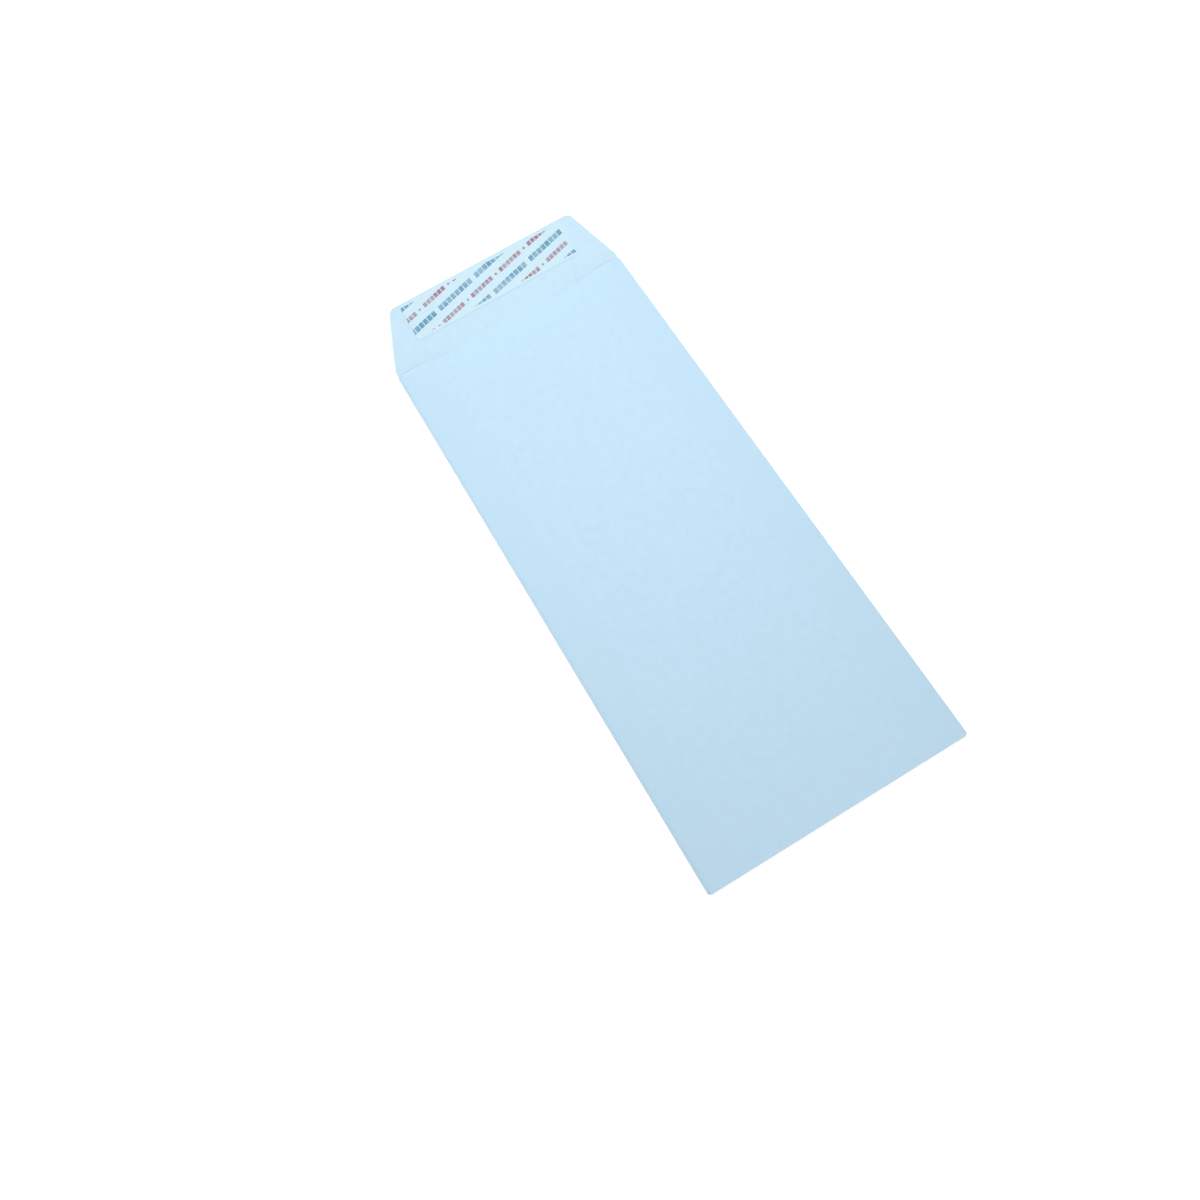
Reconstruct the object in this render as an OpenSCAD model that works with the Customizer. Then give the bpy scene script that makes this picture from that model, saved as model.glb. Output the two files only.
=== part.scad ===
// Paper pocket envelope with a peel and seal closure, lying on its front with the flap open.
// One blank makes all the paper: the side flaps turn in over the front panel, the back panel
// turns up from the bottom fold and is gummed to the side flaps, and the closure flap stands
// up from the crease at the mouth, with a release strip over its adhesive.
// The origin is the middle of the front panel's outer face. +Y points to the flap, +Z is up.

/* [Envelope] */
// Width, from one side fold to the other
envelope_w = 101.6; // [80:0.1:165]
// Length of the body, from the bottom fold to the crease of the flap
envelope_l = 228.6; // [160:0.1:330]
// Thickness of the paper
paper_t = 0.12; // [0.08:0.01:0.2]
// Clear height inside a side fold, between the front panel and the side flap
side_fold_gap = 0.3; // [0.1:0.05:0.8]

/* [Side flaps] */
// Width of a side flap, measured in from the side fold
side_flap_w = 15; // [8:0.5:25]
// Slope of the two ends of a side flap
side_flap_taper = 20; // [5:1:40]
// Radius of the two inner corners of a side flap
side_flap_corner_r = 3; // [1:0.5:6]
// Distance from the crease to the upper end of a side flap
side_flap_top_gap = 1.5; // [0.5:0.1:6]
// Distance from the bottom fold to the lower end of a side flap
side_flap_bottom_gap = 0.8; // [0.6:0.1:8]

/* [Back panel] */
// Distance from the side fold to the edge of the back panel
back_inset = 0.8; // [0.3:0.1:3]
// Distance from the crease to the two shoulders of the mouth
mouth_drop = 0.6; // [0.5:0.1:6]
// Depth of the curved throat below the shoulders of the mouth
throat_depth = 2.3; // [1:0.1:15]
// Width of the straight shoulder on each side of the throat
throat_shoulder_w = 8; // [5:0.5:20]
// Radius of the two upper corners of the back panel
mouth_corner_r = 2; // [0.5:0.1:5]

/* [Seam gum] */
// Thickness of the dry gum line
gum_t = 0.05; // [0.03:0.01:0.1]
// Width of the gum line
gum_w = 6; // [3:0.5:12]
// Distance from the edge of the back panel to the gum line
gum_edge_gap = 1; // [0.5:0.1:3]
// Distance from each end of the side flap to the gum line
gum_end_gap = 8; // [4:0.5:20]

/* [Closure flap] */
// Depth of the flap, from the crease to its free edge
flap_depth = 23.5; // [18:0.1:45]
// How far each side of the flap runs in, from the crease to the free edge
flap_side_inset = 9.8; // [2:0.1:14]
// Radius of the flap's two outer corners
flap_corner_r = 3.5; // [1:0.1:8]
// Distance from the crease to the shoulder where the flap starts to narrow
flap_shoulder_h = 1.2; // [0.8:0.1:5]
// Radius of the shoulder, as far as its height has room for it
flap_shoulder_r = 5; // [2:0.5:20]
// Angle that the open flap stands up from the table
flap_angle = 30; // [5:1:75]
// Inner radius of the crease
crease_r = 0.3; // [0.1:0.05:1]

/* [Release strip] */
// Width of the release strip
strip_w = 15; // [10:0.5:16]
// Distance from the end of the release strip to the flap's outer corner
strip_end_gap = 4.3; // [2:0.1:12]
// Distance from the flap's free edge to the release strip
strip_edge_gap = 0.3; // [0.1:0.1:1]
// Thickness of the release strip
strip_t = 0.06; // [0.04:0.01:0.1]
// Thickness of the adhesive band under the strip
adhesive_t = 0.05; // [0.03:0.01:0.1]
// Width of strip that is left free of adhesive at the flap's free edge and at both ends
adhesive_margin = 1; // [0.5:0.1:2]
// Width of strip that is left free as a finger lift on the side of the crease
finger_lift_w = 3; // [1:0.5:4]

/* [Strip print] */
// Width of strip that is left bare of print along both of its long edges
print_margin = 1.1; // [0:0.1:3]
// Slope of the printed rows
print_slope = 13.7; // [0:0.1:45]
// Distance from one printed row to the next, across the rows
row_pitch = 4.8; // [3:0.05:8]
// Height of a blue mark
blue_mark_h = 2.1; // [0.5:0.1:2.4]
// Length of a blue mark
blue_mark_l = 17; // [8:0.1:18.5]
// Distance from the start of one blue mark to the next
blue_pitch = 19.2; // [18.5:0.1:30]
// How far before the middle of the strip a blue mark starts
blue_lead = 2.5; // [0:0.1:18]
// Number of bars that a blue mark is made of
blue_bars = 8; // [1:1:10]
// Height of a red mark
red_mark_h = 1.7; // [0.5:0.1:2]
// Length of a red mark
red_mark_l = 11; // [6:0.1:13]
// Distance from the start of one red mark to the next
red_pitch = 15.2; // [14:0.1:25]
// How far before the middle of the strip a red mark starts
red_lead = 9.6; // [0:0.1:14]
// Number of bars that a red mark is made of
red_bars = 6; // [1:1:6]
// Diameter of the dot between two red marks
dot_d = 1; // [0.4:0.1:1.2]
// Space between the bars of a mark
bar_gap = 0.35; // [0.2:0.05:0.6]
// How far the marks are set back along their row, from one row to the row above it
row_shift = 0.8; // [0:0.1:10]
// Thickness of the ink
ink_t = 0.02; // [0.01:0.01:0.04]

/* [Hidden] */

paper_color = [0.78, 0.9, 0.98];
gum_color = [0.93, 0.92, 0.84];
adhesive_color = [0.9, 0.92, 0.88];
strip_color = [0.81, 0.92, 0.97];
blue_ink_color = [0.41, 0.61, 0.73];
red_ink_color = [0.66, 0.49, 0.57];

// Steps in an arc of an outline, and in the arc of a fold
outline_steps = 10;
fold_steps = 12;
// How far a folded flap is laid into the front panel, so that the two are one sheet
lap = 1;
// How far a cutting outline reaches beyond the paper
cut_margin = 2;
// Height over both layers of a side fold, and over all the layers at the bottom fold
side_rise = 2 * paper_t + side_fold_gap;
back_rise = side_rise + gum_t + paper_t;
side_fold_r = side_rise / 2;
back_fold_r = back_rise / 2;
side_flap_l = envelope_l - side_flap_top_gap - side_flap_bottom_gap;
side_flap_mid = (side_flap_bottom_gap - side_flap_top_gap) / 2;
back_w = envelope_w - 2 * back_inset;
mouth_y = envelope_l / 2 - mouth_drop;
flap_root_w = envelope_w - 2 * side_fold_r;
flap_top_w = flap_root_w - 2 * flap_side_inset;
flap_run = flap_depth - crease_r * flap_angle * PI / 180;
strip_l = flap_top_w - 2 * strip_end_gap;
strip_y = flap_run - strip_edge_gap - strip_w / 2;
adhesive_w = strip_w - adhesive_margin - finger_lift_w;
adhesive_y = strip_y + strip_w / 2 - adhesive_margin - adhesive_w / 2;
adhesive_l = strip_l - 2 * adhesive_margin;
print_w = strip_w - 2 * print_margin;
reach_across = strip_l / 2 * sin(print_slope) + print_w / 2 * cos(print_slope);
reach_along = strip_l / 2 * cos(print_slope) + print_w / 2 * sin(print_slope);
rows_each_side = ceil(reach_across / row_pitch);

// The points of an arc, from one angle to another
function arc(centre, r, from, to, steps) =
    [for (i = [0:steps]) let (a = from + (to - from) * i / steps) centre + r * [cos(a), sin(a)]];

// The points of one corner [x, y, radius] of an outline, between the corners before and after it
function corner_points(before, corner, after) =
    let (
        p = [corner.x, corner.y],
        back = [before.x, before.y] - p,
        ahead = [after.x, after.y] - p,
        to_before = back / norm(back),
        to_after = ahead / norm(ahead),
        half = acos(to_before * to_after) / 2,
        r = corner[2],
        centre = p + (to_before + to_after) / norm(to_before + to_after) * r / sin(half),
        start = p + to_before * r / tan(half) - centre,
        turns_left = cross(-to_before, to_after) > 0,
        from = atan2(start.y, start.x),
        sweep = (180 - 2 * half) * (turns_left ? 1 : -1)
    )
    r == 0 ? [p] : arc(centre, r, from, from + sweep, outline_steps);

// An outline from a list of corners [x, y, radius]
function rounded_outline(corners) =
    let (n = len(corners))
    [for (i = [0:n - 1]) each corner_points(corners[(i + n - 1) % n], corners[i], corners[(i + 1) % n])];

// A list of corners and its mirror image across the middle, as one outline
function both_sides(corners) =
    let (n = len(corners))
    concat(corners, [for (i = [n - 1:-1:0]) [-corners[i].x, corners[i].y, corners[i][2]]]);

// Section of the sheet where it turns back over itself, with the outside of the fold at x = 0.
// rise is the height over both layers, and reach is how far the upper layer runs back.
function fold_section(rise, reach) =
    let (r = rise / 2, centre = [-r, r])
    concat(
        [[-r - lap, 0]],
        arc(centre, r, -90, 90, fold_steps),
        [[-reach, rise], [-reach, rise - paper_t]],
        arc(centre, r - paper_t, 90, -90, fold_steps),
        [[-r - lap, paper_t]]
    );

// Section of the sheet at the crease, where the flap leaves the front panel upwards.
function crease_section(run) =
    let (
        centre = [0, paper_t + crease_r],
        along = [cos(flap_angle), sin(flap_angle)],
        bend = flap_angle - 90,
        under = arc(centre, crease_r + paper_t, -90, bend, fold_steps),
        over = arc(centre, crease_r, bend, -90, fold_steps)
    )
    concat(
        [[-lap, 0]],
        under,
        [under[fold_steps] + run * along, over[0] + run * along],
        over,
        [[-lap, paper_t]]
    );

// Stands a section upright and extrudes it along Y, with its x along X and its y up
module section_along_y(l, points) {
    rotate([90, 0, 0])
        linear_extrude(l, center = true)
            polygon(points);
}

// The place of the flap: y runs up its slope from the crease, and z stands off its inner face
module on_flap() {
    translate([0, envelope_l / 2 + crease_r * sin(flap_angle), paper_t + crease_r * (1 - cos(flap_angle))])
        rotate([flap_angle, 0, 0])
            children();
}

// The front panel, between the side folds, the bottom fold and the crease
module front_panel() {
    translate([side_fold_r - envelope_w / 2, back_fold_r - envelope_l / 2, 0])
        cube([flap_root_w, envelope_l - back_fold_r, paper_t]);
}

// Plan of the right side flap with its fold: straight at the fold, sloped back at both ends
function side_flap_plan() =
    let (
        fold_x = envelope_w / 2 - side_fold_r - lap,
        inner_x = envelope_w / 2 - side_flap_w,
        end_y = side_flap_l / 2,
        slope_y = end_y - (fold_x - inner_x) * tan(side_flap_taper)
    )
    rounded_outline([
        [envelope_w / 2 + cut_margin, -end_y, 0],
        [envelope_w / 2 + cut_margin, end_y, 0],
        [fold_x, end_y, 0],
        [inner_x, slope_y, side_flap_corner_r],
        [inner_x, -slope_y, side_flap_corner_r],
        [fold_x, -end_y, 0]
    ]);

// The right side flap and the fold that it hangs on
module side_flap() {
    translate([0, side_flap_mid, 0])
        intersection() {
            translate([envelope_w / 2, 0, 0])
                section_along_y(side_flap_l + cut_margin, fold_section(side_rise, side_flap_w + cut_margin));
            translate([0, 0, -cut_margin])
                linear_extrude(side_rise + 2 * cut_margin)
                    polygon(side_flap_plan());
        }
}

// Plan of the back panel, with its curved throat between the two shoulders of the mouth
function back_panel_plan() =
    let (
        half_throat = back_w / 2 - throat_shoulder_w,
        throat_r = (pow(half_throat, 2) + pow(throat_depth, 2)) / (2 * throat_depth),
        throat_angle = asin(half_throat / throat_r),
        bottom_y = -envelope_l / 2 - cut_margin
    )
    concat(
        corner_points([back_w / 2, bottom_y], [back_w / 2, mouth_y, mouth_corner_r], [0, mouth_y]),
        arc([0, mouth_y - throat_depth + throat_r], throat_r, throat_angle - 90, -throat_angle - 90,
            2 * outline_steps),
        corner_points([0, mouth_y], [-back_w / 2, mouth_y, mouth_corner_r], [-back_w / 2, bottom_y]),
        [[-back_w / 2, bottom_y], [back_w / 2, bottom_y]]
    );

// The back panel and the bottom fold that it hangs on
module back_panel() {
    intersection() {
        translate([0, -envelope_l / 2, 0])
            rotate([0, 0, -90])
                section_along_y(envelope_w, fold_section(back_rise, envelope_l));
        translate([0, 0, -cut_margin])
            linear_extrude(back_rise + 2 * cut_margin)
                polygon(back_panel_plan());
    }
}

// Outline of the closure flap on its own slope, from below the crease to the free edge
function closure_flap_outline() =
    let (
        slant = atan(flap_side_inset / (flap_run - flap_shoulder_h)),
        shoulder_r = min(flap_shoulder_r, flap_shoulder_h / tan(slant / 2))
    )
    rounded_outline(both_sides([
        [flap_root_w / 2, -cut_margin, 0],
        [flap_root_w / 2, flap_shoulder_h, shoulder_r],
        [flap_top_w / 2, flap_run, flap_corner_r]
    ]));

// The closure flap and its crease
module closure_flap() {
    intersection() {
        translate([0, envelope_l / 2, 0])
            rotate([0, 0, 90])
                section_along_y(envelope_w, crease_section(flap_depth));
        on_flap()
            translate([0, 0, -cut_margin])
                linear_extrude(2 * cut_margin)
                    polygon(closure_flap_outline());
    }
}

// All the paper, as one folded blank
module folded_sheet() {
    color(paper_color)
        union() {
            front_panel();
            side_flap();
            mirror([1, 0, 0])
                side_flap();
            back_panel();
            closure_flap();
        }
}

// The two lines of gum that hold the back panel down on the side flaps
module seam_gum() {
    color(gum_color)
        for (side = [-1, 1])
            translate([side * (back_w / 2 - gum_edge_gap - gum_w / 2), side_flap_mid, side_rise + gum_t / 2])
                cube([gum_w, side_flap_l - 2 * gum_end_gap, gum_t], center = true);
}

// The band of adhesive on the inner face of the flap
module adhesive_band() {
    color(adhesive_color)
        on_flap()
            translate([0, adhesive_y, adhesive_t / 2])
                cube([adhesive_l, adhesive_w, adhesive_t], center = true);
}

// The strip of release paper over the adhesive
module release_strip() {
    color(strip_color)
        on_flap()
            translate([0, strip_y, adhesive_t + strip_t / 2])
                cube([strip_l, strip_w, strip_t], center = true);
}

// One printed mark: a run of equal bars, from x = 0
module mark(l, h, bars) {
    bar_l = (l + bar_gap) / bars - bar_gap;
    for (i = [0:bars - 1])
        translate([i * (bar_l + bar_gap), -h / 2])
            square([bar_l, h]);
}

// Every second row of the print, counted from the middle of the strip, with the same marks at
// one pitch along each row, and cut off at the print's margins and where the strip was cut
module printed_rows(first_row, mark_pitch, lead) {
    marks_each_side = ceil((reach_along + lead + rows_each_side * row_shift) / mark_pitch);
    on_flap()
        translate([0, strip_y, adhesive_t + strip_t])
            linear_extrude(ink_t)
                intersection() {
                    square([strip_l, print_w], center = true);
                    rotate(print_slope)
                        for (row = [-rows_each_side:rows_each_side], i = [-marks_each_side:marks_each_side])
                            if (abs(row) % 2 == first_row)
                                translate([i * mark_pitch - lead - row * row_shift, row * row_pitch])
                                    children();
                }
}

// The blue ink of the strip's print
module strip_print_blue() {
    color(blue_ink_color)
        printed_rows(1, blue_pitch, blue_lead)
            mark(blue_mark_l, blue_mark_h, blue_bars);
}

// The red ink of the strip's print, with a dot between two marks
module strip_print_red() {
    color(red_ink_color)
        printed_rows(0, red_pitch, red_lead) {
            mark(red_mark_l, red_mark_h, red_bars);
            translate([(red_mark_l + red_pitch) / 2, 0])
                circle(d = dot_d, $fn = 24);
        }
}

folded_sheet();
seam_gum();
adhesive_band();
release_strip();
strip_print_blue();
strip_print_red();
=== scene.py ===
"""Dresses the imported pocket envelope: a sheet of paper with real folds, its release strip and print."""
import math

import bmesh
import bpy
from mathutils import Matrix, Quaternion, Vector, noise


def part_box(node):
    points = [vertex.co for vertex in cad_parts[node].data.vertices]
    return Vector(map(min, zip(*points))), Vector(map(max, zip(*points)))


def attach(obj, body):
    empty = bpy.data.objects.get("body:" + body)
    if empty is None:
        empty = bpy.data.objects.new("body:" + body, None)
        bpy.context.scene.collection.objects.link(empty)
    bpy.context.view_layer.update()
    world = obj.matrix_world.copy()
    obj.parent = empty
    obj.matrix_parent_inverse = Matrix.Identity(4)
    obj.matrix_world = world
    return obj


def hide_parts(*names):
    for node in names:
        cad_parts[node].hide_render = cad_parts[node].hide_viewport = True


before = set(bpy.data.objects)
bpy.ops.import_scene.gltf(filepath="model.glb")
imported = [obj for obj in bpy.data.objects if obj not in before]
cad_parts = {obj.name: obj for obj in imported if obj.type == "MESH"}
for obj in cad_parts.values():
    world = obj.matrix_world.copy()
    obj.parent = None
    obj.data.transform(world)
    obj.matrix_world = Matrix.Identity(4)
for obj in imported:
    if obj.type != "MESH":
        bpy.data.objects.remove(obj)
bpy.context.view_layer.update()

MM = 0.001

# Camera of the photograph, in the envelope's own frame
CAMERA_AT = Vector((-63.76, -120.68, 339.01)) * MM
CAMERA_LOOKS_AT = Vector((-29.66, -8.35, 0)) * MM
CAMERA_ROLL = math.radians(-14.28)
CAMERA_LENS = 30
CAMERA_SENSOR = 36
CAMERA_CLIP_START = 0.01

# The folded sheet, with the same driving sizes as the part's source
PAPER_T = 0.12 * MM
SIDE_FLAP_W = 15 * MM
SIDE_FLAP_TAPER = math.radians(20)
SIDE_FLAP_CORNER_R = 3 * MM
SIDE_FLAP_TOP_GAP = 1.5 * MM
SIDE_FLAP_BOTTOM_GAP = 0.8 * MM
SIDE_FLAP_LAP = 1 * MM
BACK_INSET = 0.8 * MM
MOUTH_DROP = 0.6 * MM
THROAT_DEPTH = 2.3 * MM
THROAT_SHOULDER_W = 8 * MM
MOUTH_CORNER_R = 2 * MM

# The closure flap
FLAP_DEPTH = 23.5 * MM
FLAP_SIDE_INSET = 9.8 * MM
FLAP_CORNER_R = 3.5 * MM
FLAP_SHOULDER_H = 1.2 * MM
FLAP_SHOULDER_R = 5 * MM
FLAP_ANGLE = math.radians(30)
CREASE_R = 0.3 * MM

# The release strip and the adhesive under it
STRIP_W = 15 * MM
STRIP_EDGE_GAP = 0.3 * MM
STRIP_T = 0.06 * MM
ADHESIVE_T = 0.05 * MM
ADHESIVE_MARGIN = 1 * MM
FINGER_LIFT_W = 3 * MM

# The print on the strip: rows of marks, each a run of bars. The two inks take the rows by turns, counted
# out from the middle row. A lead is how far left of the centre a row's middle mark starts, but for the
# row's own shift.
PRINT_MARGIN = 1.1 * MM
PRINT_SLOPE = math.radians(13.7)
ROW_PITCH = 4.8 * MM
ROW_SHIFT = 0.8 * MM
BAR_GAP = 0.35 * MM
INK_T = 0.02 * MM
BLUE = dict(first_row=1, pitch=19.2 * MM, lead=2.5 * MM, length=17 * MM, height=2.1 * MM, bars=8,
            dot_d=0)
RED = dict(first_row=0, pitch=15.2 * MM, lead=9.6 * MM, length=11 * MM, height=1.7 * MM, bars=6,
           dot_d=1 * MM)

# How far the back panel departs from flat: crowned between its gummed edges, sunk at the mouth between
# the side flaps, embossed by their inner edges, and slowly waved. The sink is whole from the middle out
# to its share of the way to the side flaps.
GUM_ZONE_W = 8 * MM
PILLOW_H = 0.3 * MM
PILLOW_RUN = 30 * MM
MOUTH_SINK_H = 0.38 * MM
MOUTH_SINK_RUN = 60 * MM
MOUTH_SINK_SHARE = 0.4
EMBOSS_H = 0.05 * MM
EMBOSS_W = 1.5 * MM
WAVE_H = 0.08 * MM
WAVE_SIZE = 45 * MM
WAVE_LAYER = 0.5

# How far the flap sags and the strip's free edges stand off. The sag varies along the flap as one line
# of the same wave does, in shorter swells.
CURL_H = 0.3 * MM
CURL_UNEVENNESS = 0.4
CURL_WAVE_LINE = 1
CURL_WAVE_QUICKER = 2
FINGER_LIFT_H = 0.03 * MM
END_LIFT_H = 0.05 * MM

# Fineness of the meshes
GRID_STEP = 2 * MM
FLAP_GRID_STEP = 1 * MM
HALF_TURN_STEPS = 12
CREASE_STEPS = 5
CORNER_STEPS = 8
DOT_STEPS = 16
MERGE_DISTANCE = 0.001 * MM
SMOOTH_ANGLE = math.radians(35)

# Colours, as linear values
PAPER_COLOR = (0.572, 0.795, 0.96)
INSIDE_COLOR = (0.577, 0.787, 0.922)
FOLD_COLOR = (0.65, 0.84, 0.96)
# The crease's paler colour is partly fold wear and partly painted light that lifts the shade at its ends
CREASE_LIGHT_AND_WEAR_COLOR = (0.67, 0.895, 1.0)
STRIP_COLOR = (0.577, 0.778, 0.875)
GUM_COLOR = (0.83, 0.82, 0.69)
ADHESIVE_COLOR = (0.79, 0.83, 0.76)
BLUE_INK = (0.108, 0.285, 0.445)
RED_INK = (0.32, 0.13, 0.205)

# Finishes. A roughness is the plain value, its range is the lowest and the highest that the pattern
# gives, and a bump is its strength and its height.
PAPER_ROUGHNESS = 0.72
PAPER_ROUGHNESS_RANGE = (0.68, 0.8)
PAPER_SPECULAR = 0.35
PAPER_BUMP = (0.35, 0.03 * MM)
RELEASE_ROUGHNESS = 0.38
RELEASE_ROUGHNESS_RANGE = (0.34, 0.44)
RELEASE_COAT = 0.25
RELEASE_COAT_ROUGHNESS = 0.3
RELEASE_BUMP = (0.15, 0.02 * MM)
INK_ROUGHNESS = 0.45
INK_BUMP = (0.1, 0.01 * MM)
GUM_ROUGHNESS = 0.5
ADHESIVE_ROUGHNESS = 0.25
FILM_BUMP = (0.3, 0.02 * MM)

# Clouds of pulp and fibres in the paper. A range is the noise at which a pattern starts and is whole, a
# shade is a factor on the colour, and a weight is the most of the other colour that is mixed in.
CLOUD_SIZE = 3 * MM
CLOUD_RANGE = (0.25, 0.75)
CLOUD_SHADES = (0.975, 1.012)
CLOUD_RELIEF = 0.6
FIBRE_SIZE = 0.5 * MM
FIBRE_STRETCH = 0.3
FIBRE_RANGE = (0.45, 0.75)
FIBRE_GLOSS_RANGE = (0.4, 0.8)
FIBRE_SHADE = 1.04
FIBRE_WEIGHT = 0.6
FIBRE_RELIEF = 0.7
PULP_DETAIL = 4

# The second layer that shows through over the side flaps, the paler wear of the folds, and a paler crease
# toward its ends, partly wear and partly painted light that lifts the shade in the gap between the back
# panel's shoulders and the crease. The layer fades in between two distances below the crease. The crease's
# paling fades in between two distances from it and, along it, between two shares of the way from the
# middle to its ends.
LAYER_EDGE_W = 1 * MM
LAYER_START = (1 * MM, 3 * MM)
LAYER_SHADE = 0.985
LAYER_WEIGHT = 0.5
SIDE_WEAR_W = 0.5 * MM
BOTTOM_WEAR_W = 0.6 * MM
FOLD_WEIGHT = 0.55
CREASE_LIGHT_AND_WEAR_BAND = (1.5 * MM, 0.3 * MM)
CREASE_LIGHT_AND_WEAR_GROWS = (0.6, 0.8)
CREASE_LIGHT_AND_WEAR_WEIGHT = 0.35

# Glaze of the release paper, specks and thin places of the ink, and ripples of gum and adhesive
GLAZE_RANGE = (0.3, 0.7)
GLAZE_SHADES = (0.98, 1.02)
SPECK_SIZE = 0.25 * MM
SPECK_DETAIL = 3
SPECK_RANGE = (0.5, 0.75)
SPECK_WEIGHT = 0.35
THIN_SIZE = 4 * MM
THIN_DETAIL = 1
THIN_RANGE = (0.35, 0.65)
THIN_WEIGHT = 0.3
RIPPLE_SIZE = 0.8 * MM
RIPPLE_DETAIL = 3
RIPPLE_STRETCH = (0.4, 1, 1)
RIPPLE_SHADES = (0.94, 1.04)

# Light and background. The floor's white is lifted where it is seen directly, and more so away from the
# envelope.
AMBIENT = 0.27
LAMP_AIM = Vector((0, 0.02, 0))
KEY = dict(place=Vector((0.02, 0.145, 0.375)), size=0.3, power=1.05)
FILL = dict(place=Vector((0.10, -1.00, 0.60)), size=0.8, power=4.9)
FLOOR_SIZE = 6.0
FLOOR_COLOR = (0.8, 0.8, 0.8)
FLOOR_ROUGHNESS = 0.9
FLOOR_LIFT_NEAR = 0.4
FLOOR_LIFT_FAR = 0.9
FLOOR_LIFT_FROM = 0.10
FLOOR_LIFT_TO = 0.35


def smoothstep(low, high, value):
    """0 below low, 1 above high, and a smooth step between them."""
    share = min(max((value - low) / (high - low), 0), 1)
    return share * share * (3 - 2 * share)


def arch(share):
    """A parabola that is 0 at 0 and at 1, and 1 halfway."""
    return 4 * share * (1 - share)


def spread(start, end, step):
    """Evenly spaced values from start to end, about one step apart."""
    count = max(1, round(abs(end - start) / step))
    return [start + (end - start) * i / count for i in range(count + 1)]


class Envelope:
    """The sizes that follow from the frame and the driving sizes, and the middle surface of the paper."""

    def __init__(self):
        low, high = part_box("folded_sheet")
        gum_low, gum_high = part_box("seam_gum")
        strip_low, strip_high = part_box("release_strip")
        self.half_w = high.x
        self.crease_y = -low.y
        self.side_r = gum_low.z / 2
        self.back_r = (gum_high.z + PAPER_T) / 2
        self.root_half = self.half_w - self.side_r
        self.back_half = self.half_w - BACK_INSET
        self.bottom_y = -self.crease_y + self.back_r
        self.side_low = -self.crease_y + SIDE_FLAP_BOTTOM_GAP
        self.side_high = self.crease_y - SIDE_FLAP_TOP_GAP
        self.mouth_y = self.crease_y - MOUTH_DROP
        self.flap_run = FLAP_DEPTH - CREASE_R * FLAP_ANGLE
        self.strip_half = (strip_high.x - strip_low.x) / 2
        self.strip_mid = self.flap_run - STRIP_EDGE_GAP - STRIP_W / 2
        self.slant = math.atan(FLAP_SIDE_INSET / (self.flap_run - FLAP_SHOULDER_H))

    def columns(self, half):
        """Places across the sheet, closer together near its rounded corners."""
        inner = spread(-self.back_half + MOUTH_CORNER_R, self.back_half - MOUTH_CORNER_R, GRID_STEP)
        turns = [math.radians(90 * i / CORNER_STEPS) for i in range(1, CORNER_STEPS + 1)]
        corner = [self.back_half - MOUTH_CORNER_R * (1 - math.sin(a)) for a in turns]
        outer = corner + ([self.root_half] if half > self.back_half else [])
        return [-x for x in reversed(outer)] + inner + outer

    def front_rows(self):
        """Places along the front panel, with the ends of the side flaps among them."""
        return [self.bottom_y] + spread(self.side_low, self.side_high, GRID_STEP) + [self.crease_y]

    def wave(self, x, y):
        """A slow unevenness of the paper, from -1 to 1."""
        return noise.noise(Vector((x / WAVE_SIZE, y / WAVE_SIZE, WAVE_LAYER)))

    def bulge(self, x, y):
        """Height of the back panel above its flat place: crowned, but sunk at the mouth."""
        free_half = self.back_half - GUM_ZONE_W
        flap_edge = self.half_w - SIDE_FLAP_W
        across = max(0, 1 - (x / free_half) ** 2) ** 2
        along = smoothstep(-self.crease_y, -self.crease_y + PILLOW_RUN, y)
        mouth = smoothstep(self.mouth_y - MOUTH_SINK_RUN, self.mouth_y - THROAT_DEPTH, y)
        between_flaps = 1 - smoothstep(MOUTH_SINK_SHARE * flap_edge, flap_edge, abs(x))
        over_flap = smoothstep(flap_edge - EMBOSS_W / 2, flap_edge + EMBOSS_W / 2, abs(x))
        crown = across * along * (1 - mouth) * (PILLOW_H + WAVE_H * self.wave(x, y))
        return crown - MOUTH_SINK_H * mouth * between_flaps - EMBOSS_H * (1 - over_flap) * along

    def mouth_edge(self, x):
        """Where the back panel ends: a curved throat between two shoulders with rounded corners."""
        half_throat = self.back_half - THROAT_SHOULDER_W
        throat_r = (half_throat**2 + THROAT_DEPTH**2) / (2 * THROAT_DEPTH)
        past_corner = abs(x) - (self.back_half - MOUTH_CORNER_R)
        if abs(x) < half_throat:
            return self.mouth_y - THROAT_DEPTH + throat_r - math.sqrt(throat_r**2 - x**2)
        if past_corner > 0:
            return self.mouth_y - MOUTH_CORNER_R + math.sqrt(max(0, MOUTH_CORNER_R**2 - past_corner**2))
        return self.mouth_y

    def flap_half(self, s):
        """Half the width of the closure flap at a distance s up its slope."""
        shoulder_run = FLAP_SHOULDER_R * math.tan(self.slant / 2)
        shoulder_start = FLAP_SHOULDER_H - shoulder_run
        shoulder_end = FLAP_SHOULDER_H + shoulder_run * math.cos(self.slant)
        corner_s = self.flap_run - FLAP_CORNER_R
        straight = self.root_half - (s - FLAP_SHOULDER_H) * math.tan(self.slant)
        if s <= shoulder_start:
            return self.root_half
        if s <= shoulder_end:
            rise = s - shoulder_start
            return self.root_half - FLAP_SHOULDER_R + math.sqrt(FLAP_SHOULDER_R**2 - rise**2)
        if s <= corner_s + FLAP_CORNER_R * math.sin(self.slant):
            return straight
        corner_x = self.root_half - (corner_s - FLAP_SHOULDER_H) * math.tan(self.slant)
        corner_x -= FLAP_CORNER_R / math.cos(self.slant)
        return corner_x + math.sqrt(max(0, FLAP_CORNER_R**2 - (s - corner_s) ** 2))

    def flap_rows(self):
        """Distances up the flap's slope, closer together at its rounded corners."""
        corner_s = self.flap_run - FLAP_CORNER_R
        turns = spread(self.slant, math.pi / 2, (math.pi / 2 - self.slant) / CORNER_STEPS)
        corner = [corner_s + FLAP_CORNER_R * math.sin(a) for a in turns]
        return spread(0, corner[0], FLAP_GRID_STEP)[:-1] + corner

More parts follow.
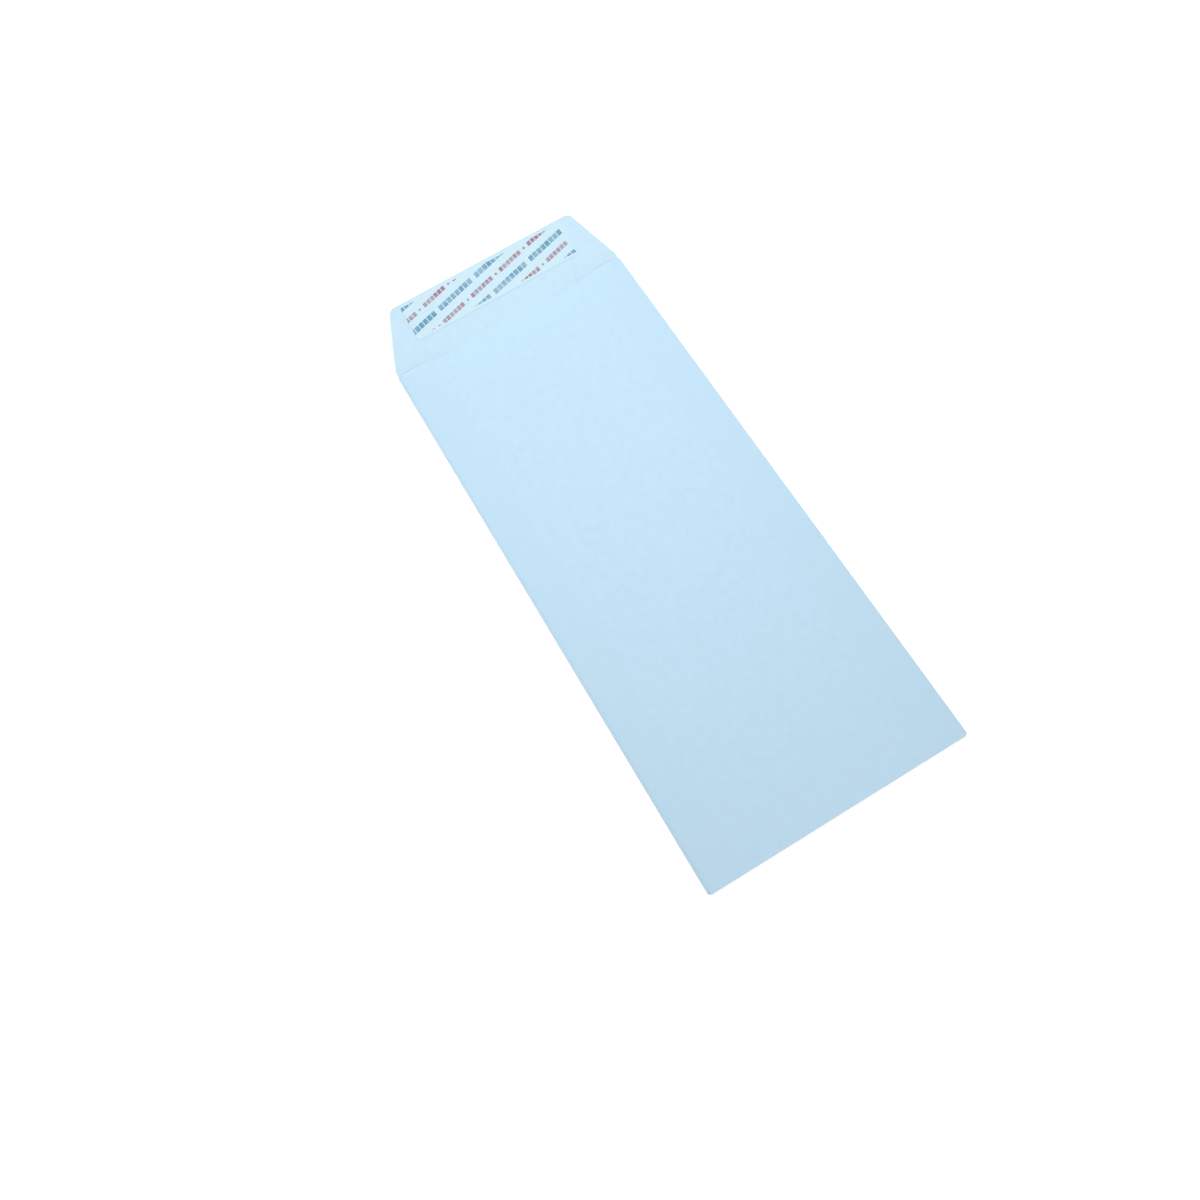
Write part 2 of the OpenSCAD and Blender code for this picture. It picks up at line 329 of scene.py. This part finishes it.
    def flap_point(self, x, s, height):
        """A point over the flap's inner face, which sags a little between the crease and the free edge."""
        unevenness = CURL_UNEVENNESS * self.wave(CURL_WAVE_QUICKER * x, CURL_WAVE_LINE)
        curl = -CURL_H * arch(s / self.flap_run) * (1 + unevenness)
        origin = Vector((0, self.crease_y + CREASE_R * math.sin(FLAP_ANGLE),
                         PAPER_T + CREASE_R * (1 - math.cos(FLAP_ANGLE))))
        turned = Matrix.Rotation(FLAP_ANGLE, 3, "X") @ Vector((x, s, height + curl))
        return origin + turned

    def strip_lift(self, x, s):
        """How far the strip stands off the adhesive's level at its free edges."""
        free_s = self.strip_mid - STRIP_W / 2 + FINGER_LIFT_W
        free_x = self.strip_half - ADHESIVE_MARGIN
        finger = max(0, (free_s - s) / FINGER_LIFT_W) ** 2 * FINGER_LIFT_H
        end = max(0, (abs(x) - free_x) / ADHESIVE_MARGIN) ** 2 * END_LIFT_H
        return finger + end


def arc_points(centre, radius, start, end, steps):
    """Pairs of coordinates along an arc about a centre, between two angles in degrees."""
    angles = [math.radians(start + (end - start) * i / steps) for i in range(steps + 1)]
    return [(centre[0] + radius * math.cos(a), centre[1] + radius * math.sin(a)) for a in angles]


def add_patch(bm, rows):
    """Adds a grid of faces from rows of points, whose normals look to the paper's inner side."""
    verts = [[bm.verts.new(p) for p in row] for row in rows]
    for low, high in zip(verts, verts[1:]):
        for i in range(len(low) - 1):
            bm.faces.new((low[i], low[i + 1], high[i + 1], high[i]))


def front_patch(env):
    """The front panel, flat on the table."""
    return [[Vector((x, y, PAPER_T / 2)) for x in env.columns(env.root_half)] for y in env.front_rows()]


def back_patch(env):
    """The back panel from its mouth edge down to the bottom fold, and round it to the front panel."""
    columns = env.columns(env.back_half)
    fold = arc_points((env.bottom_y, env.back_r), env.back_r - PAPER_T / 2, 90, 270, HALF_TURN_STEPS)
    top_z = 2 * env.back_r - PAPER_T / 2
    shares = spread(1, 0, GRID_STEP / (env.mouth_y - env.bottom_y))
    rows = []
    for share in shares[:-1]:
        ys = [env.bottom_y + share * (env.mouth_edge(x) - env.bottom_y) for x in columns]
        rows.append([Vector((x, y, top_z + env.bulge(x, y))) for x, y in zip(columns, ys)])
    return rows + [[Vector((x, y, z)) for x in columns] for y, z in fold]


def side_flap_end(env, distance):
    """Half the length of a side flap at a distance in from its fold, sloped back and rounded inside."""
    half = (env.side_high - env.side_low) / 2
    inner = SIDE_FLAP_W - env.side_r
    slope = math.tan(SIDE_FLAP_TAPER)
    arc_x = inner - SIDE_FLAP_CORNER_R
    arc_y = half - (arc_x - SIDE_FLAP_LAP) * slope - SIDE_FLAP_CORNER_R / math.cos(SIDE_FLAP_TAPER)
    if distance < arc_x + SIDE_FLAP_CORNER_R * math.sin(SIDE_FLAP_TAPER):
        return half - max(0, distance - SIDE_FLAP_LAP) * slope
    return arc_y + math.sqrt(max(0, SIDE_FLAP_CORNER_R**2 - (distance - arc_x) ** 2))


def side_patch(env, side):
    """A side flap with its fold. Its columns run the way the blank's width does."""
    mid_y = (env.side_low + env.side_high) / 2
    half_l = (env.side_high - env.side_low) / 2
    rows_y = spread(env.side_low, env.side_high, GRID_STEP)
    fold = arc_points((env.root_half, env.side_r), env.side_r - PAPER_T / 2, -90, 90, HALF_TURN_STEPS)
    inner = SIDE_FLAP_W - env.side_r
    turns = [math.radians(90 * i / CORNER_STEPS) for i in range(CORNER_STEPS + 1)]
    corner = [inner - SIDE_FLAP_CORNER_R * (1 - math.sin(a)) for a in turns]
    runs = spread(0, corner[0], GRID_STEP)[1:-1] + corner
    rows = []
    for y in rows_y:
        row = [Vector((side * x, y, z)) for x, z in fold]
        for distance in runs:
            share = side_flap_end(env, distance) / half_l
            row.append(Vector((side * (env.root_half - distance), mid_y + (y - mid_y) * share,
                               2 * env.side_r - PAPER_T / 2)))
        rows.append(row if side > 0 else row[::-1])
    return rows


def flap_patch(env):
    """The crease and the closure flap, from the front panel up to the free edge."""
    columns = env.columns(env.root_half)
    crease = arc_points((env.crease_y, PAPER_T + CREASE_R), CREASE_R + PAPER_T / 2, -90,
                        math.degrees(FLAP_ANGLE) - 90, CREASE_STEPS)
    rows = [[Vector((x, y, z)) for x in columns] for y, z in crease[:-1]]
    for s in env.flap_rows():
        narrow = env.flap_half(s) / env.root_half
        rows.append([env.flap_point(x * narrow, s, -PAPER_T / 2) for x in columns])
    return rows


def thicken(name, bm, thickness, offset, materials, second_side=0):
    """A closed piece from a surface, smooth but for its cut edges.

    Offset 0 keeps the surface in the middle of the thickness, and 1 keeps it at the bottom. The side that
    the normals turn away from takes the material that comes second_side slots later.
    """
    bmesh.ops.remove_doubles(bm, verts=bm.verts, dist=MERGE_DISTANCE)
    surface = bpy.data.meshes.new(name + "_surface")
    bm.to_mesh(surface)
    bm.free()
    carrier = bpy.data.objects.new(name + "_surface", surface)
    bpy.context.scene.collection.objects.link(carrier)
    solid = carrier.modifiers.new("thickness", "SOLIDIFY")
    solid.thickness = thickness
    solid.offset = offset
    solid.material_offset = second_side
    for material in materials:
        surface.materials.append(material)
    evaluated = carrier.evaluated_get(bpy.context.evaluated_depsgraph_get())
    mesh = bpy.data.meshes.new_from_object(evaluated)
    bpy.data.objects.remove(carrier)
    bpy.data.meshes.remove(surface)
    mesh.name = name
    mesh.shade_smooth()
    mesh.set_sharp_from_angle(angle=SMOOTH_ANGLE)
    piece = bpy.data.objects.new(name, mesh)
    bpy.context.scene.collection.objects.link(piece)
    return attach(piece, "root")


def make_sheet(env, materials):
    """All the paper of the envelope as one folded sheet."""
    bm = bmesh.new()
    for rows in (front_patch(env), back_patch(env), side_patch(env, 1), side_patch(env, -1),
                 flap_patch(env)):
        add_patch(bm, rows)
    sheet = thicken("envelope_sheet", bm, PAPER_T, 0, materials, second_side=1)
    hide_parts("folded_sheet")
    return sheet


def make_layer(env, name, half_l, low_s, high_s, height, thickness, material, lift):
    """A thin band that lies on the flap's inner face and follows its curl."""
    columns = spread(-half_l, half_l, FLAP_GRID_STEP)
    rows = []
    for s in spread(low_s, high_s, FLAP_GRID_STEP):
        rows.append([env.flap_point(x, s, height + lift(x, s)) for x in columns])
    bm = bmesh.new()
    add_patch(bm, rows)
    return thicken(name, bm, thickness, 1, [material])


def add_face(bm, corners):
    """One flat face through the given corners."""
    bm.faces.new([bm.verts.new((x, y, 0)) for x, y in corners])


def add_mark(bm, ink, start):
    """A run of bars from start along X, and the dot that follows it if the ink has one."""
    bar_l = (ink["length"] + BAR_GAP) / ink["bars"] - BAR_GAP
    half_h = ink["height"] / 2
    for i in range(ink["bars"]):
        left = start.x + i * (bar_l + BAR_GAP)
        low, high = start.y - half_h, start.y + half_h
        add_face(bm, [(left, low), (left + bar_l, low), (left + bar_l, high), (left, high)])
    if ink["dot_d"]:
        centre = (start.x + (ink["length"] + ink["pitch"]) / 2, start.y)
        add_face(bm, arc_points(centre, ink["dot_d"] / 2, 0, 360, DOT_STEPS)[:-1])


def cut(bm, point, normal, clear):
    """Cuts the flat print along a line, and clears what lies on the normal's side if asked to."""
    geometry = bm.verts[:] + bm.edges[:] + bm.faces[:]
    bmesh.ops.bisect_plane(bm, geom=geometry, plane_co=point, plane_no=normal, clear_outer=clear)


def make_print(env, name, ink, material, node):
    """The rows of one ink, cut off at the print's margins and laid on the strip."""
    bm = bmesh.new()
    half_w = STRIP_W / 2 - PRINT_MARGIN
    reach_across = env.strip_half * math.sin(PRINT_SLOPE) + half_w * math.cos(PRINT_SLOPE)
    reach_along = env.strip_half * math.cos(PRINT_SLOPE) + half_w * math.sin(PRINT_SLOPE)
    rows_each_side = math.ceil(reach_across / ROW_PITCH)
    marks_each_side = math.ceil((reach_along + ink["lead"] + rows_each_side * ROW_SHIFT) / ink["pitch"])
    for row in range(-rows_each_side, rows_each_side + 1):
        if abs(row) % 2 != ink["first_row"]:
            continue
        for i in range(-marks_each_side, marks_each_side + 1):
            start = i * ink["pitch"] - ink["lead"] - row * ROW_SHIFT
            add_mark(bm, ink, Vector((start, row * ROW_PITCH)))
    bmesh.ops.rotate(bm, verts=bm.verts, cent=(0, 0, 0), matrix=Matrix.Rotation(PRINT_SLOPE, 3, "Z"))
    for side in (-1, 1):
        cut(bm, (side * env.strip_half, 0, 0), (side, 0, 0), True)
        cut(bm, (0, side * half_w, 0), (0, side, 0), True)
    for line in spread(-half_w, half_w, FLAP_GRID_STEP)[1:-1]:
        cut(bm, (0, line, 0), (0, 1, 0), False)
    strip_top = ADHESIVE_T + STRIP_T
    for v in bm.verts:
        s = v.co.y + env.strip_mid
        v.co = env.flap_point(v.co.x, s, strip_top + env.strip_lift(v.co.x, s))
    piece = thicken(name, bm, INK_T, 1, [material])
    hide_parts(node)
    return piece


class Nodes:
    """A material with a Principled shader, and short ways to add the nodes of its patterns."""

    def __init__(self, name, color, roughness):
        self.material = bpy.data.materials.new(name)
        self.material.use_nodes = True
        self.tree = self.material.node_tree
        self.shader = self.tree.nodes["Principled BSDF"]
        self.shader.inputs["Base Color"].default_value = (*color, 1)
        self.shader.inputs["Roughness"].default_value = roughness
        self.place = self.tree.nodes.new("ShaderNodeTexCoord").outputs["Object"]

    def link(self, value, socket):
        """Sets an input to a number or a vector, or links it to an output."""
        if isinstance(value, bpy.types.NodeSocket):
            self.tree.links.new(value, socket)
        else:
            socket.default_value = value

    def math(self, operation, a, b=0.0):
        """One math step on a number or two."""
        node = self.tree.nodes.new("ShaderNodeMath")
        node.operation = operation
        self.link(a, node.inputs[0])
        self.link(b, node.inputs[1])
        return node.outputs[0]

    def from_middle_and_along(self):
        """The distance from the envelope's middle line, and the place along it."""
        node = self.tree.nodes.new("ShaderNodeSeparateXYZ")
        self.link(self.place, node.inputs[0])
        return self.math("ABSOLUTE", node.outputs["X"]), node.outputs["Y"]

    def ramp(self, value, low, high, start=0.0, end=1.0):
        """A smooth step from start at low to end at high."""
        node = self.tree.nodes.new("ShaderNodeMapRange")
        node.interpolation_type = "SMOOTHSTEP"
        for socket, number in zip(("Value", "From Min", "From Max", "To Min", "To Max"),
                                  (value, low, high, start, end)):
            self.link(number, node.inputs[socket])
        return node.outputs["Result"]

    def noise(self, size, detail, stretch=(1, 1, 1)):
        """Noise whose grains are about that size, from 0 to 1."""
        mapping = self.tree.nodes.new("ShaderNodeMapping")
        self.link(self.place, mapping.inputs["Vector"])
        mapping.inputs["Scale"].default_value = stretch
        node = self.tree.nodes.new("ShaderNodeTexNoise")
        self.link(mapping.outputs["Vector"], node.inputs["Vector"])
        node.inputs["Scale"].default_value = 1 / size
        node.inputs["Detail"].default_value = detail
        return node.outputs["Fac"]

    def mix(self, factor, first, second):
        """A blend of two colours."""
        node = self.tree.nodes.new("ShaderNodeMix")
        node.data_type = "RGBA"
        self.link(factor, node.inputs["Factor"])
        self.link(first if isinstance(first, bpy.types.NodeSocket) else (*first, 1), node.inputs["A"])
        self.link(second if isinstance(second, bpy.types.NodeSocket) else (*second, 1), node.inputs["B"])
        return node.outputs["Result"]

    def bump(self, height, strength, distance):
        """Relief on the shader's normal."""
        node = self.tree.nodes.new("ShaderNodeBump")
        node.inputs["Strength"].default_value = strength
        node.inputs["Distance"].default_value = distance
        self.link(height, node.inputs["Height"])
        self.link(node.outputs["Normal"], self.shader.inputs["Normal"])


def scaled(color, factor):
    """A colour made darker or lighter."""
    return tuple(channel * factor for channel in color)


def shades(color, factors):
    """A colour made darker or lighter by each factor."""
    return [scaled(color, factor) for factor in factors]


def paper_fibres(nodes):
    """The cloudy look of the pulp and its fine fibres, as numbers from 0 to 1."""
    cloud = nodes.noise(CLOUD_SIZE, PULP_DETAIL)
    along = nodes.noise(FIBRE_SIZE, PULP_DETAIL, (1, FIBRE_STRETCH, 1))
    across = nodes.noise(FIBRE_SIZE, PULP_DETAIL, (FIBRE_STRETCH, 1, 1))
    return cloud, nodes.math("MAXIMUM", along, across)


def doubled_paper(nodes, env, from_middle, along):
    """How much of the second layer shows: only over the side flaps."""
    flap_edge = env.half_w - SIDE_FLAP_W
    over_flap = nodes.ramp(from_middle, flap_edge - LAYER_EDGE_W / 2, flap_edge + LAYER_EDGE_W / 2)
    on_body = nodes.ramp(along, *(env.crease_y - distance for distance in LAYER_START))
    return nodes.math("MULTIPLY", nodes.math("MULTIPLY", over_flap, on_body), LAYER_WEIGHT)


def worn_folds(nodes, env, from_middle, along):
    """How pale the paper is at the side folds and the bottom fold."""
    side_fold = nodes.ramp(from_middle, env.half_w - SIDE_WEAR_W, env.half_w)
    bottom_fold = nodes.ramp(along, -env.crease_y + BOTTOM_WEAR_W, -env.crease_y)
    return nodes.math("MULTIPLY", nodes.math("MAXIMUM", side_fold, bottom_fold), FOLD_WEIGHT)


def crease_painted_light_and_wear(nodes, env, from_middle, along):
    """How pale the crease is toward its two ends: partly wear, partly painted light lifting the shade
    there.
    """
    from_crease = nodes.math("ABSOLUTE", nodes.math("SUBTRACT", along, env.crease_y))
    grows_from, grows_to = (share * env.half_w for share in CREASE_LIGHT_AND_WEAR_GROWS)
    ends = nodes.ramp(from_middle, grows_from, grows_to, 0, CREASE_LIGHT_AND_WEAR_WEIGHT)
    return nodes.math("MULTIPLY", nodes.ramp(from_crease, *CREASE_LIGHT_AND_WEAR_BAND), ends)


def paper_material(env, name, color):
    """Matte wove paper: faint clouds and fibres, a second layer that shows through, paler folds.

    The crease's ends are paler too, partly wear and partly painted light that lifts their shade.
    """
    nodes = Nodes(name, color, PAPER_ROUGHNESS)
    nodes.shader.inputs["Specular IOR Level"].default_value = PAPER_SPECULAR
    cloud, fibres = paper_fibres(nodes)
    place = nodes.from_middle_and_along()
    clouded = nodes.mix(nodes.ramp(cloud, *CLOUD_RANGE), *shades(color, CLOUD_SHADES))
    fibre_weight = nodes.ramp(fibres, *FIBRE_RANGE, 0, FIBRE_WEIGHT)
    fibred = nodes.mix(fibre_weight, clouded, scaled(color, FIBRE_SHADE))
    layered = nodes.mix(doubled_paper(nodes, env, *place), fibred, scaled(color, LAYER_SHADE))
    folded = nodes.mix(worn_folds(nodes, env, *place), layered, FOLD_COLOR)
    # Painted light at the crease's ends, partly wear, that lifts the shade in the gap there
    crease_lit_and_worn = nodes.mix(crease_painted_light_and_wear(nodes, env, *place), folded, CREASE_LIGHT_AND_WEAR_COLOR)
    nodes.link(crease_lit_and_worn, nodes.shader.inputs["Base Color"])
    roughness = nodes.ramp(fibres, *FIBRE_GLOSS_RANGE, *PAPER_ROUGHNESS_RANGE)
    nodes.link(roughness, nodes.shader.inputs["Roughness"])
    fibre_relief = nodes.math("MULTIPLY", fibres, FIBRE_RELIEF)
    cloud_relief = nodes.math("MULTIPLY", cloud, CLOUD_RELIEF)
    nodes.bump(nodes.math("ADD", fibre_relief, cloud_relief), *PAPER_BUMP)
    return nodes.material


def release_material(name):
    """Thin glazed release paper with a slippery coat."""
    nodes = Nodes(name, STRIP_COLOR, RELEASE_ROUGHNESS)
    nodes.shader.inputs["Coat Weight"].default_value = RELEASE_COAT
    nodes.shader.inputs["Coat Roughness"].default_value = RELEASE_COAT_ROUGHNESS
    cloud, fibres = paper_fibres(nodes)
    clouded = nodes.mix(cloud, *shades(STRIP_COLOR, GLAZE_SHADES))
    nodes.link(clouded, nodes.shader.inputs["Base Color"])
    roughness = nodes.ramp(cloud, *GLAZE_RANGE, *RELEASE_ROUGHNESS_RANGE)
    nodes.link(roughness, nodes.shader.inputs["Roughness"])
    nodes.bump(fibres, *RELEASE_BUMP)
    return nodes.material


def ink_material(name, color):
    """Press ink that lies unevenly on the glazed paper, with small pale specks."""
    nodes = Nodes(name, color, INK_ROUGHNESS)
    specks = nodes.noise(SPECK_SIZE, SPECK_DETAIL)
    specked = nodes.mix(nodes.ramp(specks, *SPECK_RANGE, 0, SPECK_WEIGHT), color, STRIP_COLOR)
    thin = nodes.ramp(nodes.noise(THIN_SIZE, THIN_DETAIL), *THIN_RANGE, 0, THIN_WEIGHT)
    nodes.link(nodes.mix(thin, specked, STRIP_COLOR), nodes.shader.inputs["Base Color"])
    nodes.bump(specks, *INK_BUMP)
    return nodes.material


def film_material(name, color, roughness):
    """Dried gum or tacky adhesive: a thin uneven film."""
    nodes = Nodes(name, color, roughness)
    ripples = nodes.noise(RIPPLE_SIZE, RIPPLE_DETAIL, RIPPLE_STRETCH)
    nodes.link(nodes.mix(ripples, *shades(color, RIPPLE_SHADES)), nodes.shader.inputs["Base Color"])
    nodes.bump(ripples, *FILM_BUMP)
    return nodes.material


def make_camera():
    """The photograph's camera."""
    data = bpy.data.cameras.new("camera")
    data.lens = CAMERA_LENS
    data.sensor_width = CAMERA_SENSOR
    data.clip_start = CAMERA_CLIP_START
    camera = bpy.data.objects.new("camera", data)
    bpy.context.scene.collection.objects.link(camera)
    level = (CAMERA_LOOKS_AT - CAMERA_AT).to_track_quat("-Z", "Y")
    camera.rotation_mode = "QUATERNION"
    camera.rotation_quaternion = level @ Quaternion((0, 0, 1), CAMERA_ROLL)
    camera.location = CAMERA_AT
    bpy.context.scene.camera = camera


def make_lamp(name, place, size, power):
    """A square soft lamp turned to the envelope."""
    data = bpy.data.lights.new(name, "AREA")
    data.size = size
    data.energy = power
    lamp = bpy.data.objects.new(name, data)
    lamp.location = place
    lamp.rotation_mode = "QUATERNION"
    lamp.rotation_quaternion = (LAMP_AIM - place).to_track_quat("-Z", "Y")
    bpy.context.scene.collection.objects.link(lamp)


def seen_directly(tree):
    """1 for rays that show the background itself, in the camera, in gloss or through glass."""
    path = tree.nodes.new("ShaderNodeLightPath")
    total = path.outputs["Is Camera Ray"]
    for name in ("Is Glossy Ray", "Is Transmission Ray"):
        node = tree.nodes.new("ShaderNodeMath")
        node.operation = "MAXIMUM"
        tree.links.new(total, node.inputs[0])
        tree.links.new(path.outputs[name], node.inputs[1])
        total = node.outputs[0]
    return total


def make_world():
    """A white background, which lights the object at a plain level."""
    world = bpy.data.worlds.new("world")
    world.use_nodes = True
    bpy.context.scene.world = world
    tree = world.node_tree
    strength = tree.nodes.new("ShaderNodeMapRange")
    strength.inputs["To Min"].default_value = AMBIENT
    strength.inputs["To Max"].default_value = 1.0
    tree.links.new(seen_directly(tree), strength.inputs["Value"])
    background = tree.nodes["Background"]
    background.inputs["Color"].default_value = (1, 1, 1, 1)
    tree.links.new(strength.outputs["Result"], background.inputs["Strength"])


def make_floor():
    """A pale floor that looks white where it is lit and keeps the envelope's shadow."""
    mesh = bpy.data.meshes.new("floor")
    half = FLOOR_SIZE / 2
    corners = [(-half, -half, 0), (half, -half, 0), (half, half, 0), (-half, half, 0)]
    mesh.from_pydata(corners, [], [(0, 1, 2, 3)])
    floor = bpy.data.objects.new("floor", mesh)
    bpy.context.scene.collection.objects.link(floor)
    material = bpy.data.materials.new("floor_white")
    material.use_nodes = True
    tree = material.node_tree
    shader = tree.nodes["Principled BSDF"]
    shader.inputs["Base Color"].default_value = (*FLOOR_COLOR, 1)
    shader.inputs["Roughness"].default_value = FLOOR_ROUGHNESS
    shader.inputs["Specular IOR Level"].default_value = 0
    shader.inputs["Emission Color"].default_value = (1, 1, 1, 1)
    place = tree.nodes.new("ShaderNodeTexCoord")
    distance = tree.nodes.new("ShaderNodeVectorMath")
    distance.operation = "LENGTH"
    tree.links.new(place.outputs["Object"], distance.inputs[0])
    spread_out = tree.nodes.new("ShaderNodeMapRange")
    spread_out.interpolation_type = "SMOOTHSTEP"
    spread_out.inputs["From Min"].default_value = FLOOR_LIFT_FROM
    spread_out.inputs["From Max"].default_value = FLOOR_LIFT_TO
    spread_out.inputs["To Min"].default_value = FLOOR_LIFT_NEAR
    spread_out.inputs["To Max"].default_value = FLOOR_LIFT_FAR
    tree.links.new(distance.outputs["Value"], spread_out.inputs["Value"])
    lift = tree.nodes.new("ShaderNodeMath")
    lift.operation = "MULTIPLY"
    tree.links.new(seen_directly(tree), lift.inputs[0])
    tree.links.new(spread_out.outputs["Result"], lift.inputs[1])
    tree.links.new(lift.outputs[0], shader.inputs["Emission Strength"])
    mesh.materials.append(material)


def dress(env):
    """Every piece of the envelope but the seam gum, with its material."""
    outside = paper_material(env, "paper_outside", PAPER_COLOR)
    inside = paper_material(env, "paper_inside", INSIDE_COLOR)
    make_sheet(env, [inside, outside])
    strip_low = env.strip_mid - STRIP_W / 2
    strip_high = env.strip_mid + STRIP_W / 2
    film = film_material("tacky_adhesive", ADHESIVE_COLOR, ADHESIVE_ROUGHNESS)
    adhesive = make_layer(env, "flap_adhesive", env.strip_half - ADHESIVE_MARGIN,
                          strip_low + FINGER_LIFT_W, strip_high - ADHESIVE_MARGIN, 0, ADHESIVE_T, film,
                          lambda x, s: 0)
    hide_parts("adhesive_band")
    strip = make_layer(env, "release_paper", env.strip_half, strip_low, strip_high, ADHESIVE_T, STRIP_T,
                       release_material("glazed_release_paper"), env.strip_lift)
    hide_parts("release_strip")
    blue = ink_material("ink_blue", BLUE_INK)
    make_print(env, "print_blue", BLUE, blue, "strip_print_blue")
    red = ink_material("ink_red", RED_INK)
    make_print(env, "print_red", RED, red, "strip_print_red")


bpy.context.scene.view_settings.view_transform = "Standard"

make_camera()
dress(Envelope())
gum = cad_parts["seam_gum"]
gum.material_slots[0].material = film_material("dried_gum", GUM_COLOR, GUM_ROUGHNESS)
make_floor()
make_world()
make_lamp("key", **KEY)
make_lamp("fill", **FILL)
